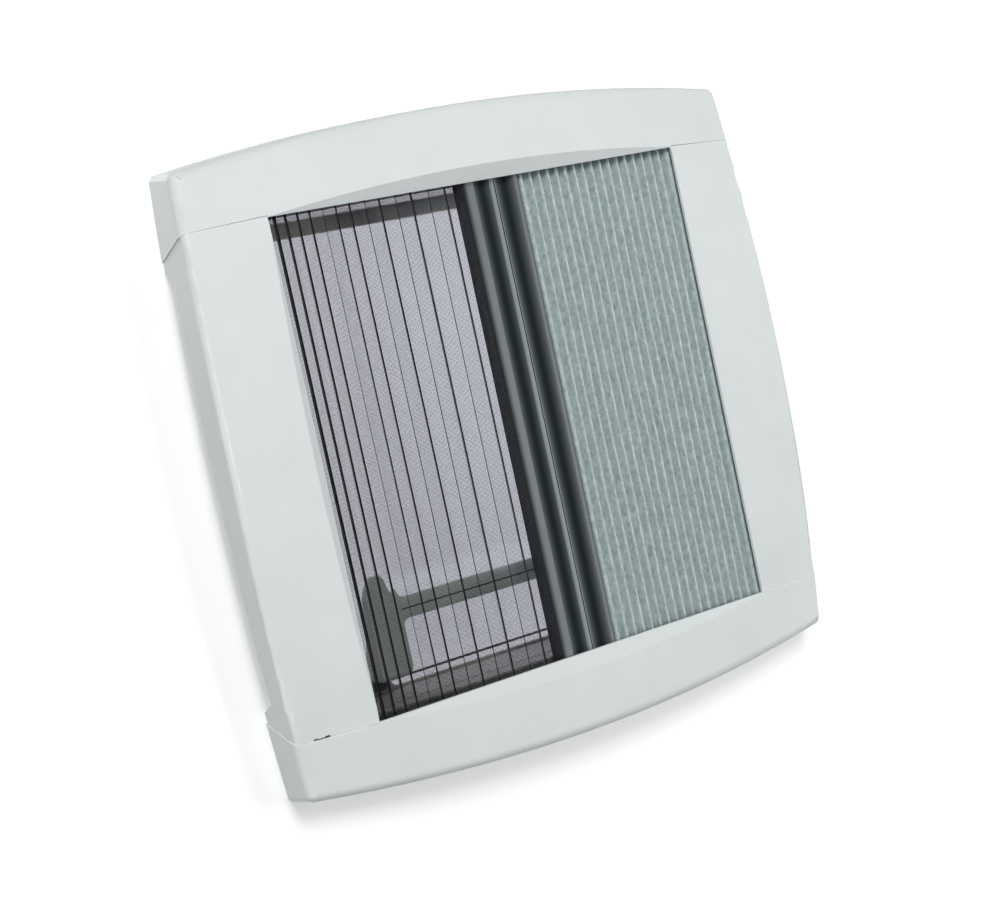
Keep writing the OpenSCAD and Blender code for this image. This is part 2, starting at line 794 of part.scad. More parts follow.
cap_side_out = panel_apex[0] + cap_over;
cap_side_fall = atan(2 * cap_sag / cap_half) + 0.7;
cap_side_sag = tan(cap_fall) * panel_half * panel_half / (panel_half + seam_front);
ball_x = corner_x(4);
ball_y = cap_edge_line(ball_x)[0];
ball_z = cap_edge_line(ball_x)[1];
cap_side_apex = [cap_side_out, ball_z - cap_side_line(ball_y, 0)[1]];

// Corner rounding: what it removes is the block outside a ball and the
// leaning post behind it, both a hair larger than the roundings they join
module corner_trim(inset) {
    r = cap_edge_r - inset + 0.2;
    far = 30;
    lean_x = 2 * panel_bow / panel_half;
    lean_y = 2 * cap_bow / cap_half;
    translate([ball_x, ball_y, ball_z]) rotate([-cap_draft, 0, 0]) difference() {
        translate([0, 0, -far]) linear_extrude(trim_depth + 2 * far)
            polygon([[0, 0], far * [lean_y, 1], [2 * far, 2 * far], far * [1, lean_x]]);
        rotate([90, 0, 225]) sphere(r, $fn = 96);
        cylinder(h = trim_depth + 2 * far, r = r - 0.05, $fn = 96);
    }
}

// The border runs between the panels only, and over their ends the cap keeps
// its face
module cap_solid(inset) {
    difference() {
        cap_skin(inset);
        outside_cap_sides(inset);
        along_x(-op - inset, op + inset) front_of_border(inset);
        both_sides() corner_trim(inset);
    }
}

// The joint between a panel and a cap leans towards the middle of the panel
function seam(z) = seam_front - seam_lean * (z - z_face) / trim_depth;

module below_seam(shift) {
    polygon([
        [-1, z_face - 20], [seam(z_face - 20) + shift, z_face - 20],
        [seam(z_ceiling + 20) + shift, z_ceiling + 20], [-1, z_ceiling + 20]
    ]);
}

cap_rib_places = [-180, -60, 60, 180];
panel_rib_places = [-110, 0, 110];

module end_cap_opening_side() {
    color(white) difference() {
        union() {
            difference() {
                cap_solid(0);
                cap_solid(trim_t);
            }
            intersection() {
                cap_solid(trim_t / 2);
                for (x = cap_rib_places) translate([x - 1, rail_out + 1, z_face - 20])
                    cube([2, 60, z_ceiling - plate_t - z_face + 20]);
            }
        }
        translate([-op, op - 100, z_face - 30]) cube([2 * op, 100, trim_depth + 60]);
        both_sides() along_x(op - 0.01, cap_half + 30) below_seam(0);
        translate([-300, 0, z_ceiling]) cube([600, 400, 100]);
    }
}

module end_cap_hinge_side() {
    mirror([0, 1, 0]) end_cap_opening_side();
}

module panel_solid(inset) {
    difference() {
        panel_skin(inset);
        rotate(-90) along_x(-panel_half - 20, panel_half + 20) front_of_border(inset);
    }
}

module side_panel() {
    notch = seam(z_ceiling) - foot_w;
    color(white) difference() {
        union() {
            difference() {
                panel_solid(0);
                panel_solid(trim_t);
            }
            intersection() {
                panel_solid(trim_t / 2);
                for (y = panel_rib_places) translate([rail_out + 1, y - 1, z_face - 20])
                    cube([plate_half - rail_out - 3, 2, z_ceiling - plate_t - z_face + 20]);
            }
        }
        translate([op - 100, -300, z_face - 30]) cube([100, 600, trim_depth + 60]);
        for (side = [0, 1]) mirror([0, side, 0]) along_x(op - 20, cap_half + 40) difference() {
            translate([0, z_face - 30]) square([400, trim_depth + 60]);
            below_seam(-seam_gap);
        }
        translate([op + 40, 0, 0]) rotate([90, 0, 90]) linear_extrude(60) polygon([
            [-notch, z_ceiling + 1], [-notch + foot_flare, z_face + panel_depth],
            [notch - foot_flare, z_face + panel_depth], [notch, z_ceiling + 1]
        ]);
        translate([-300, -400, z_ceiling]) cube([800, 800, 100]);
        translate([release_slot_x, seam_front - seam_gap - release_slot[1], z_face - 20])
            cube([release_slot[0], release_slot[1] + 5, 30]);
    }
}

module side_panel_right() { side_panel(); }
module side_panel_left() { mirror([1, 0, 0]) side_panel(); }

// Pleated cloths

// Place of a flyscreen fold, counted from the fixed end
function mesh_fold(k) = let (share = k / mesh_pleats)
    -op + (mesh_bar_x + op) * ((1 - mesh_spread) * share + mesh_spread * share * share);

function blind_fold(k) = blind_bar_x + 3 + k * (op - 1 - blind_bar_x - 3) / blind_pleats;

// Zigzag band through fold places, front folds and back folds in turn
module pleats(folds, depth) {
    last = len(folds) - 1;
    ridge = [for (k = [0:last]) each k < last
        ? [[folds[k], cloth_front], [(folds[k] + folds[k + 1]) / 2, cloth_front + depth - fold_t]]
        : [[folds[k], cloth_front]]];
    count = len(ridge) - 1;
    shift = [0, fold_t];
    polygon([
        for (k = [0:count]) ridge[k],
        for (k = [count:-1:0]) ridge[k] + shift
    ]);
}

module flyscreen_cloth() {
    folds = [for (k = [0:mesh_pleats - 1]) mesh_fold(k)];
    color(black) along_y(cloth_half) {
        translate([-rail_in, cloth_front]) square([cloth_t + 0.4, mesh_depth]);
        translate([-rail_in, cloth_front]) square([rail_in - op + cloth_t, cloth_t]);
        pleats(folds, mesh_depth);
        translate([folds[mesh_pleats - 1], cloth_front])
            square([mesh_bar_x - folds[mesh_pleats - 1] - 0.8, cloth_t]);
        translate([mesh_bar_x - 0.8, cloth_front]) square([0.8, mesh_depth]);
    }
}

module blind_cloth() {
    folds = [for (k = [0:blind_pleats]) blind_fold(k)];
    color(pale_green) along_y(cloth_half) {
        translate([blind_bar_x, cloth_front]) square([0.8, blind_depth]);
        translate([blind_bar_x, cloth_front]) square([3 + cloth_t, cloth_t]);
        pleats(folds, blind_depth);
        translate([folds[blind_pleats], cloth_front])
            square([rail_in - folds[blind_pleats], cloth_t]);
        translate([rail_in - cloth_t - 0.4, cloth_front]) square([cloth_t + 0.4, blind_depth]);
    }
}

// Pull bars

// Section of a pull bar whose lip is at x = 0 and whose cloth is at -width
module bar_section(width) {
    soft = 4;
    difference() {
        union() {
            translate([-width, bar_front + soft]) square([width, bar_d - soft]);
            translate([soft - width, bar_front]) square([width - soft, bar_d]);
            translate([soft - width, bar_front + soft]) circle(soft, $fn = 48);
        }
        translate([-9.8, bar_front + groove_d - groove_r]) circle(groove_r, $fn = 96);
        translate([3 - width, bar_front + bar_d - 8.5]) square([width - 6, 6]);
    }
}

module pull_bar(width) {
    color(grey_green) along_y(bar_half) translate([-bars_gap / 2, 0]) bar_section(width - bars_gap / 2);
}

module bar_glides(width) {
    depth = bar_d - 1.5;
    color(black) for (side = [0, 1]) mirror([0, side, 0]) difference() {
        translate([3 - width, bar_half, bar_front + 1])
            cube([width - 6, rail_out - rail_t - glide_gap - bar_half, depth - 1]);
        for (place = cord_places) along_x(-width, 0)
            translate([place[0], place[1]]) circle(cord_r + 0.5, $fn = 24);
    }
}

module flyscreen_bar() { translate([bars_x, 0, 0]) pull_bar(mesh_bar_w); }
module flyscreen_bar_glides() { translate([bars_x, 0, 0]) bar_glides(mesh_bar_w); }
module blind_bar() { translate([bars_x, 0, 0]) mirror([1, 0, 0]) pull_bar(blind_bar_w); }
module blind_bar_glides() { translate([bars_x, 0, 0]) mirror([1, 0, 0]) bar_glides(blind_bar_w); }

outer_frame();
dome_seal();
mounting_frame();
clamp_screws();
hinge_leaf_frame();
hinge_pins();
hinge_screws();
stay_bosses();
stay_rivets();
catch_sockets();
guide_rail_hinge_side();
guide_rail_opening_side();
flyscreen_end_rail();
blind_end_rail();
tension_cords();
end_cap_hinge_side();
end_cap_opening_side();
side_panel_left();
side_panel_right();
flyscreen_cloth();
flyscreen_bar();
flyscreen_bar_glides();
blind_cloth();
blind_bar();
blind_bar_glides();
dome_frame();
dome_inner_shell();
dome_outer_shell();
hinge_leaf_dome();
stay_rail_left();
stay_rail_right();
stay_rail_screws();
catch_studs();
bow_brackets();
bow_arm_left();
bow_arm_right();
bow_grip_bar();
bow_pins();
stay_arm_left();
stay_pin_left();
stay_arm_right();
stay_pin_right();
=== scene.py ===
"""Looks of the roof vent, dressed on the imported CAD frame.

The row frame is in metres with +Z to the sky. The trim frame with its two
screens is on the room side, below, and the camera looks up at it from below.
New pieces are surfaces worked out with numpy.
"""

import json
import math

import bmesh
import bpy
import numpy as np
from mathutils import Matrix, Vector


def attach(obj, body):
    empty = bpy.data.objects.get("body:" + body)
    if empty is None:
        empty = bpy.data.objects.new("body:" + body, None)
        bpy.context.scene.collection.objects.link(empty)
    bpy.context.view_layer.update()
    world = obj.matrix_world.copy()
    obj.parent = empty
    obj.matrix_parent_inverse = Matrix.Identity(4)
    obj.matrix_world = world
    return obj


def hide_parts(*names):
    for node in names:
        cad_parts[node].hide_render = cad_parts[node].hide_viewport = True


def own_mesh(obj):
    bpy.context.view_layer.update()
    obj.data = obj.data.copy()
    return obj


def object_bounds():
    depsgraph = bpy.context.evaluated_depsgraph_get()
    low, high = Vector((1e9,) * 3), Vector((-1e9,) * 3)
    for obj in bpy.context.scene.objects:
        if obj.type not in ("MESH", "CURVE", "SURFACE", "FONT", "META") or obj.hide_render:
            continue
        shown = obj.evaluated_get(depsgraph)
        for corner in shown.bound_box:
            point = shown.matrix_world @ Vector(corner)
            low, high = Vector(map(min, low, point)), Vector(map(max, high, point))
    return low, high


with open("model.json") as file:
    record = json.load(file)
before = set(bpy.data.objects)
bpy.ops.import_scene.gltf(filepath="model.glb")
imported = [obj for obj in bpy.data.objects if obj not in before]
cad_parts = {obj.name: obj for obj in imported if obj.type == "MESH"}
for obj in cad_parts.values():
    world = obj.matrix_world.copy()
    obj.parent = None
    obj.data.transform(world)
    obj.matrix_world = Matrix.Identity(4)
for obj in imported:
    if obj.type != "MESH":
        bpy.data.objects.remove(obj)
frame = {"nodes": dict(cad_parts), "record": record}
cad_low, cad_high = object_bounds()
MM = 0.001

# Sizes of the screens, as the CAD has them
SCREEN_HALF = 195 * MM
CLOTH_FRONT = -72.5 * MM
MESH_FIXED_X = -192 * MM
MESH_BAR_X = -15.7 * MM
BLIND_BAR_X = 37.7 * MM
BLIND_FIXED_X = 192 * MM
BARS_MEET = 12.5 * MM
MESH_DEPTH = 12 * MM
BLIND_DEPTH = 9.5 * MM


# Camera, as fitted to the corners of the screen opening in the photograph

def make_camera():
    """A camera at a point, aimed at a point, and rolled about its view line
    from the direction that has the hinge side upward."""
    place = Vector((-0.867838, -0.093347, -1.381688))
    aim = Vector((-0.038467, 0.023658, -0.078))
    roll = math.radians(12.1546)
    forward = (aim - place).normalized()
    level = Vector((0, -1, 0))
    level = (level - level.dot(forward) * forward).normalized()
    up = math.cos(roll) * level + math.sin(roll) * forward.cross(level)
    right = forward.cross(up)
    data = bpy.data.cameras.new("camera")
    data.sensor_width = 36
    data.lens = 72
    data.clip_start, data.clip_end = 0.05, 50
    camera = bpy.data.objects.new("camera", data)
    bpy.context.scene.collection.objects.link(camera)
    camera.matrix_world = Matrix((
        (right.x, up.x, -forward.x, place.x), (right.y, up.y, -forward.y, place.y),
        (right.z, up.z, -forward.z, place.z), (0, 0, 0, 1)))
    bpy.context.scene.camera = camera


# Materials

class Finish:
    """A node material: one shader and the nodes that vary it."""

    def __init__(self, name, **constants):
        self.material = bpy.data.materials.new(name)
        self.material.use_nodes = True
        self.tree = self.material.node_tree
        self.shader = self.tree.nodes["Principled BSDF"]
        for socket, value in constants.items():
            self.shader.inputs[socket.replace("_", " ")].default_value = value
        self.output = self.tree.nodes["Material Output"]

    def add(self, kind, settings=None, **inputs):
        """A node with its inputs set or linked, by name or by number."""
        made = self.tree.nodes.new("ShaderNode" + kind)
        for key, value in (settings or {}).items():
            setattr(made, key, value)
        for key, value in inputs.items():
            socket = made.inputs[int(key[1:])] if key[0] == "n" and key[1:].isdigit() \
                else made.inputs[key.replace("_", " ")]
            if isinstance(value, bpy.types.NodeSocket):
                self.tree.links.new(value, socket)
            else:
                socket.default_value = value
        return made

    def link(self, source, target):
        self.tree.links.new(source, target)

    def place(self, scale=(1, 1, 1), turn=(0, 0, 0)):
        """Object coordinates, scaled and turned."""
        spot = self.add("TexCoord").outputs["Object"]
        return self.add("Mapping", Vector=spot, Scale=scale, Rotation=turn).outputs[0]

    def noise(self, scale, where=None, detail=3.0, roughness=0.55):
        where = where if where is not None else self.place()
        return self.add("TexNoise", Vector=where, Scale=scale, Detail=detail,
                        Roughness=roughness).outputs["Fac"]

    def ramp(self, source, low, high, from_low=0.0, from_high=1.0, kind="LINEAR"):
        return self.add("MapRange", {"interpolation_type": kind}, Value=source, From_Min=from_low,
                        From_Max=from_high, To_Min=low, To_Max=high).outputs[0]

    def mixed(self, share, first, second):
        return self.add("Mix", {"data_type": "RGBA"}, n0=share, n6=first, n7=second).outputs[2]

    def maths(self, operation, first, second=0.0):
        return self.add("Math", {"operation": operation}, n0=first, n1=second).outputs[0]

    def bump(self, height, depth, strength=1.0):
        """A bump of so many metres, on top of any bump that is there."""
        made = self.add("Bump", Height=height, Distance=depth, Strength=strength)
        socket = self.shader.inputs["Normal"]
        if socket.is_linked:
            self.link(socket.links[0].from_socket, made.inputs["Normal"])
        self.link(made.outputs[0], socket)


def tone(colour, factor):
    return tuple(min(1.0, c * factor) for c in colour[:3]) + (1.0,)


def moulded(name, colour, roughness, grain=0.00001, patch=0.02, grain_scale=1400, **constants):
    """Moulded plastic: a fine spark-eroded grain, a trace of cloudiness and a
    gloss that varies a little."""
    made = Finish(name, IOR=1.49, **constants)
    cloud = made.noise(22.0, detail=2.0)
    shade = made.mixed(made.ramp(cloud, 0, 1, 0.3, 0.7), tone(colour, 1 - patch), tone(colour, 1 + patch))
    made.link(shade, made.shader.inputs["Base Color"])
    grainy = made.noise(grain_scale, detail=2.0)
    made.link(made.ramp(grainy, roughness - 0.05, roughness + 0.06), made.shader.inputs["Roughness"])
    made.bump(grainy, grain)
    return made.material


def throat_shaded(name, colour, throat_shade, roughness):
    """White moulded frame whose inner walls, round the throat, are a darker
    mottled grey-brown as painted shade of the deep throat."""
    made = Finish(name, IOR=1.49)
    spot = made.add("SeparateXYZ", Vector=made.add("TexCoord").outputs["Object"])
    reach = made.maths("MAXIMUM", made.maths("ABSOLUTE", spot.outputs[0]), made.maths("ABSOLUTE", spot.outputs[1]))
    mottle = made.noise(260.0, detail=5.0, roughness=0.7)
    # painted shade: the throat's inner walls, inside the reach mask, get a darker mottled grey-brown
    painted_throat_shade = made.mixed(made.ramp(mottle, 0, 1, 0.35, 0.65), tone(throat_shade, 0.72), tone(throat_shade, 1.25))
    made.link(made.mixed(made.maths("LESS_THAN", reach, 0.1906), colour, painted_throat_shade), made.shader.inputs["Base Color"])
    grainy = made.noise(1400.0, detail=2.0)
    made.link(made.ramp(grainy, roughness - 0.05, roughness + 0.06), made.shader.inputs["Roughness"])
    made.bump(grainy, 0.00001)
    return made.material


def grooved(name, face, groove, middles, half, roughness):
    """Satin plastic of the pull bars, with painted light: the lips where the two
    bars meet are lighter as a painted highlight, each finger groove is darker
    as painted shade and duller towards its middle line, and the narrow gap
    between the bars and their outer flanks are near black as painted shadow."""
    made = Finish(name, IOR=1.49)
    x = made.add("SeparateXYZ", Vector=made.add("TexCoord").outputs["Object"]).outputs[0]
    away = [made.maths("ABSOLUTE", made.maths("SUBTRACT", x, middle)) for middle in middles]
    share = made.maths("DIVIDE", made.maths("MINIMUM", *away), half)
    # painted shade: rise is 0 on a groove's middle line and 1 out on the flats, and the colour darkens towards the
    # middle
    rise = made.maths("POWER", made.ramp(share, 0, 1), 2.2)
    grainy = made.noise(1100.0, detail=2.0)
    uneven = made.maths("MULTIPLY", rise, made.ramp(made.noise(70.0, made.place(scale=(1, 0.2, 1))), 0.9, 1.1))
    # painted highlight: the lips on either side of where the two bars meet are lighter
    lip = made.ramp(made.maths("ABSOLUTE", made.maths("SUBTRACT", x, BARS_MEET)), 1, 0, 2.2 * MM, 3.4 * MM)
    # painted shadow: near black in the narrow gap where the bars meet and on the bars' outer flanks
    cleft_shadow = made.ramp(made.maths("ABSOLUTE", made.maths("SUBTRACT", x, BARS_MEET)), 1, 0, 0.45 * MM, 0.65 * MM)
    flank_shade = made.ramp(made.maths("ABSOLUTE", made.maths("SUBTRACT", x, 11 * MM)), 0, 1, 23.5 * MM, 26.4 * MM)
    # painted shade in the grooves and painted highlight on the lips, mixed into the base colour
    shade = made.mixed(lip, made.mixed(uneven, groove, face), tone(face, 1.9))
    dark = made.maths("MAXIMUM", cleft_shadow, flank_shade)
    made.link(made.mixed(dark, shade, groove), made.shader.inputs["Base Color"])
    made.link(made.maths("MULTIPLY", made.ramp(rise, 0.06, 0.5), made.ramp(dark, 1, 0.12)),
              made.shader.inputs["Specular IOR Level"])
    made.link(made.maths("ADD", made.ramp(rise, roughness + 0.2, roughness), made.ramp(grainy, -0.03, 0.03)),
              made.shader.inputs["Roughness"])
    made.bump(grainy, 0.000004)
    return made.material


def brushed(name, colour, roughness):
    """Drawn metal: streaks along X in colour, gloss and height."""
    made = Finish(name, Metallic=1.0)
    streaks = made.noise(900.0, made.place(scale=(0.04, 1, 1)), detail=4.0)
    made.link(made.mixed(streaks, tone(colour, 0.86), tone(colour, 1.06)), made.shader.inputs["Base Color"])
    made.link(made.ramp(streaks, roughness - 0.08, roughness + 0.1), made.shader.inputs["Roughness"])
    made.bump(streaks, 0.000004)
    return made.material


def acrylic(name, tint, lets_through):
    """Clear acrylic: glass for the eye that lets the lamps' light through, with
    a painted shade that darkens it unevenly towards the opening side."""
    made = Finish(name, Roughness=0.015, IOR=1.49, Transmission_Weight=1.0)
    haze = made.noise(9.0, detail=2.0)
    made.bump(haze, 0.0004, 0.15)
    along = made.add("SeparateXYZ", Vector=made.add("TexCoord").outputs["Object"]).outputs[1]
    # painted shade: the clear plastic darkens towards the opening side, along +Y
    opening_side_shade = made.maths("MULTIPLY", made.ramp(along, 0, 1, -0.12, 0.19), made.ramp(haze, 0.85, 1.15))
    made.link(made.mixed(opening_side_shade, tint, tone(tint, 0.91)), made.shader.inputs["Base Color"])
    clear = made.add("BsdfTransparent", Color=lets_through)
    pick = made.add("MixShader", Fac=made.add("LightPath").outputs["Is Shadow Ray"],
                    n1=made.shader.outputs[0], n2=clear.outputs[0])
    made.link(pick.outputs[0], made.output.inputs["Surface"])
    return made.material


def mesh_thread(name):
    """Coated glass-fibre thread: near black with a dull sheen and a few paler
    fibres."""
    made = Finish(name, Roughness=0.5, IOR=1.45)
    fibre = made.noise(1800.0, detail=2.0)
    made.link(made.mixed(made.ramp(fibre, 0, 1, 0.45, 0.75), (0.016, 0.017, 0.02, 1), (0.075, 0.075, 0.085, 1)),
              made.shader.inputs["Base Color"])
    return made.material


def pleated_fabric(name):
    """Felt-like blind cloth: fibres in two directions, cloudy patches and a
    paler broken line along each front fold, from the piece's fold attribute."""
    made = Finish(name, Roughness=0.85, Sheen_Weight=0.25, Sheen_Roughness=0.5, IOR=1.4)
    across = made.noise(620.0, made.place(scale=(1, 0.35, 1)), detail=4.0, roughness=0.7)
    along = made.noise(540.0, made.place(scale=(0.4, 1, 1), turn=(0, 0, 0.5)), detail=4.0, roughness=0.7)
    fibre = made.maths("MULTIPLY", made.maths("ADD", across, along), 0.5)
    cloud = made.noise(290.0, made.place(scale=(1, 0.6, 1), turn=(0, 0, 0.9)), detail=3.0, roughness=0.65)
    felt = made.maths("ADD", made.maths("MULTIPLY", fibre, 0.5), made.maths("MULTIPLY", cloud, 0.5))
    cloth = made.mixed(made.ramp(felt, 0, 1, 0.38, 0.62), (0.35, 0.42, 0.425, 1), (0.62, 0.71, 0.715, 1))
    fold = made.add("Attribute", {"attribute_name": "fold"}).outputs["Fac"]
    # the colour is paler along each front fold, broken by noise
    fold_paling = made.maths("MULTIPLY", fold, made.ramp(made.noise(130.0, made.place(scale=(0.5, 1, 1)), detail=4.0), 0.0, 0.85, 0.4, 0.62))
    made.link(made.mixed(fold_paling, cloth, (0.76, 0.82, 0.82, 1)), made.shader.inputs["Base Color"])
    made.bump(fibre, 0.00012)
    return made.material


def rubber(name):
    made = Finish(name, Roughness=0.7, IOR=1.5)
    dust = made.noise(160.0, detail=4.0)
    made.link(made.mixed(dust, (0.018, 0.018, 0.019, 1), (0.045, 0.045, 0.046, 1)), made.shader.inputs["Base Color"])
    made.bump(made.noise(2600.0), 0.00002)
    return made.material


# Surfaces

def piece(name, points, faces, body, material, slot, smooth=False):
    """A mesh object at the origin that rides on a body."""
    mesh = bpy.data.meshes.new(name)
    mesh.from_pydata(points.tolist() if hasattr(points, "tolist") else points, [], faces.tolist())
    mesh.polygons.foreach_set("use_smooth", np.full(len(mesh.polygons), smooth))
    mesh.materials.append(material)
    mesh.update()
    made = bpy.data.objects.new(name, mesh)
    bpy.context.scene.collection.objects.link(made)
    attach(made, body)
    return made


def grid_faces(rows, columns, closed_columns=False):
    """Quads of a grid of points that is stored row by row."""
    i, j = np.meshgrid(np.arange(rows - 1), np.arange(columns if closed_columns else columns - 1), indexing="ij")
    k = (j + 1) % columns
    return np.stack([i * columns + j, i * columns + k, (i + 1) * columns + k, (i + 1) * columns + j], -1).reshape(-1, 4)


# Flyscreen: real threads woven on a pleated sheet

MESH_PITCH = 1.0 * MM
THREAD = 0.21 * MM
MESH_PLEATS = 14
MESH_SPREAD = 0.34
# How far each pleat's back fold lies behind its front fold towards the bar, in mm
BACK_FOLD_LEAN = [2.9, 3.6, 3.9, 4.4, 4.5, 6.0, 5.2, 4.8, 6.4, 5.1, 6.6, 5.2, 6.8, 5.3]
# Half the width of each front crease, in mm: hard ones near the fixed end, soft ones between
CREASE_HALF_WIDTH = [0.62, 0.6, 0.55, 0.5, 0.5, 0.16, 0.42, 0.52, 0.14, 0.5, 0.15, 0.5, 0.14, 0.42]


def mesh_profile():
    """The sheet's corners in (x, z): front folds on a curve that widens from
    the fixed end, each followed by its back fold."""
    share = np.arange(MESH_PLEATS) / MESH_PLEATS
    first = -190 * MM
    front = first + (MESH_BAR_X - first) * ((1 - MESH_SPREAD) * share + MESH_SPREAD * share ** 2)
    back = front + np.array(BACK_FOLD_LEAN) * MM
    deep = CLOTH_FRONT + MESH_DEPTH - 0.7 * MM
    near = CLOTH_FRONT + 0.4 * MM
    corners = np.empty((2 * MESH_PLEATS + 1, 2))
    corners[0:-1:2] = np.stack([front, np.full(MESH_PLEATS, near)], 1)
    corners[1::2] = np.stack([back, np.full(MESH_PLEATS, deep)], 1)
    corners[-1] = (MESH_BAR_X - 0.3 * MM, near)
    return np.vstack([(MESH_FIXED_X + 0.5 * MM, near), corners])


def along_profile(corners, places):
    """Points at given distances along a polyline, and the way it runs there."""
    step = np.diff(corners, axis=0)
    length = np.concatenate([[0], np.cumsum(np.hypot(*step.T))])
    which = np.clip(np.searchsorted(length, places, side="right") - 1, 0, len(step) - 1)
    way = step[which] / np.hypot(*step[which].T)[:, None]
    return corners[which] + way * (places - length[which])[:, None], way


def straight_threads(spots, ways, half, thickness):
    """Square bars along Y, one at each spot of the profile, turned to lie in
    the sheet."""
    normal = np.stack([-ways[:, 1], ways[:, 0]], 1)
    t = thickness / 2
    ring = np.stack([spots + a * t * ways + b * t * normal for a, b in ((1, 1), (-1, 1), (-1, -1), (1, -1))], 1)
    count = len(spots)
    points = np.empty((count, 2, 4, 3))
    points[..., 0] = ring[:, None, :, 0]
    points[..., 2] = ring[:, None, :, 1]
    points[:, 0, :, 1], points[:, 1, :, 1] = -half, half
    sides = np.array([(0, 4, 5, 1), (1, 5, 6, 2), (2, 6, 7, 3), (3, 7, 4, 0), (0, 1, 2, 3), (7, 6, 5, 4)])
    faces = sides[None] + 8 * np.arange(count)[:, None, None]
    return points.reshape(-1, 3), faces.reshape(-1, 4)


def folded_threads(corners, rows, thickness):
    """Square bars that follow the whole profile, one at each row of Y: at a
    corner the bar is mitred along the line halfway between the two legs."""
    step = np.diff(corners, axis=0)
    way = step / np.hypot(*step.T)[:, None]
    normal = np.stack([-way[:, 1], way[:, 0]], 1)
    bisect = np.vstack([normal[:1], normal[:-1] + normal[1:], normal[-1:]])
    bisect /= np.hypot(*bisect.T)[:, None]
    reach = np.concatenate([[1], 1 / np.clip(np.sum(bisect[1:-1] * normal[1:], 1), 0.5, 1), [1]])
    t = thickness / 2
    upper = corners + bisect * (reach * t)[:, None]
    lower = corners - bisect * (reach * t)[:, None]
    ring = np.stack([upper, upper, lower, lower], 1)
    shift = np.array([-t, t, t, -t])
    count, rings = len(rows), len(corners)
    points = np.empty((count, rings, 4, 3))
    points[..., 0] = ring[None, :, :, 0]
    points[..., 2] = ring[None, :, :, 1]
    points[..., 1] = rows[:, None, None] + shift[None, None, :]
    one = grid_faces(rings, 4, closed_columns=True)
    last = 4 * (rings - 1)
    one = np.vstack([one, [(3, 2, 1, 0), (last, last + 1, last + 2, last + 3)]])
    faces = one[None] + 4 * rings * np.arange(count)[:, None, None]
    return points.reshape(-1, 3), faces.reshape(-1, 4)


def make_flyscreen(material, crease_material):
    corners = mesh_profile()
    length = np.hypot(*np.diff(corners, axis=0).T).sum()
    spots, ways = along_profile(corners, np.arange(MESH_PITCH / 2, length, MESH_PITCH))
    long_points, long_faces = straight_threads(spots, ways, SCREEN_HALF, THREAD)
    rows = np.arange(-SCREEN_HALF + MESH_PITCH, SCREEN_HALF, MESH_PITCH)
    cross_points, cross_faces = folded_threads(corners, rows, THREAD * 0.96)
    made = piece("flyscreen_mesh", np.vstack([long_points, cross_points]),
                 np.vstack([long_faces, cross_faces + len(long_points)]), "frame", material, "mesh_black")
    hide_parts("flyscreen_cloth")
    squash_flyscreen(made)
    make_creases(corners, crease_material)
    return made


def squash_flyscreen(made):
    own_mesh(made)


def make_creases(corners, material):
    """Heat-set crease lines: a flat strip along each fold that bridges its two
    legs, at the front folds and thinner at the back folds."""
    folds = corners[1:-1]
    wide = np.empty(len(folds))
    wide[0::2], wide[1::2] = np.array(CREASE_HALF_WIDTH) * MM, 0.5 * np.array(CREASE_HALF_WIDTH) * MM
    deep = 0.3 * MM
    side = np.where(np.arange(len(folds)) % 2 == 0, 1, -1)
    count = len(folds)
    points = np.empty((count, 2, 3, 3))
    points[:, :, 0, 0] = (folds[:, 0] - wide)[:, None]
    points[:, :, 1, 0] = folds[:, 0][:, None]
    points[:, :, 2, 0] = (folds[:, 0] + wide)[:, None]
    base = folds[:, 1]
    points[:, :, 0, 2] = (base + side * deep)[:, None]
    points[:, :, 1, 2] = (base - side * 0.25 * MM)[:, None]
    points[:, :, 2, 2] = (base + side * deep)[:, None]
    points[:, 0, :, 1], points[:, 1, :, 1] = -SCREEN_HALF, SCREEN_HALF
    one = np.array([(0, 3, 4, 1), (1, 4, 5, 2), (2, 5, 3, 0), (0, 1, 2), (5, 4, 3)], dtype=object)
    faces = [tuple(int(v) + 6 * k for v in face) for k in range(count) for face in one]
    mesh = bpy.data.meshes.new("flyscreen_creases")
    mesh.from_pydata(points.reshape(-1, 3).tolist(), [], faces)
    mesh.materials.append(material)
    mesh.update()
    made = bpy.data.objects.new("flyscreen_creases", mesh)
    bpy.context.scene.collection.objects.link(made)
    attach(made, "frame")
    squash_flyscreen(made)


# Blind: one continuous pleated cloth

BLIND_PLEATS = 17


def blind_profile(fold_round=5, leg_points=6):
    """Corners of the pleats in (x, z), with each leg bowed a little, and how near
    each point is to a front fold, from 0 to 1. fold_round is not used: the
    folds are not rounded."""
    first, last = BLIND_BAR_X + 3 * MM, BLIND_FIXED_X - 3 * MM
    pitch = (last - first) / BLIND_PLEATS
    phase = np.linspace(0, BLIND_PLEATS, BLIND_PLEATS * 2 * 12 + 1)
    wave = np.abs((phase % 1) * 2 - 1)
    wave = 1 - wave
    soft = wave - 0.030 * np.sin(2 * np.pi * wave)
    near, deep = CLOTH_FRONT + 0.35 * MM, CLOTH_FRONT + BLIND_DEPTH - 0.9 * MM
    x = first + pitch * phase
    z = near + (deep - near) * soft
    fold = np.clip(1 - wave * 9, 0, 1)
    fold[[0, -1]] = 0
    ends_x = (BLIND_BAR_X - 0.3 * MM, BLIND_FIXED_X + 0.5 * MM)
    return (np.concatenate([ends_x[:1], x, ends_x[1:]]), np.concatenate([[near + 4.5 * MM], z, [near]]),
            np.concatenate([[0], fold, [0]]))


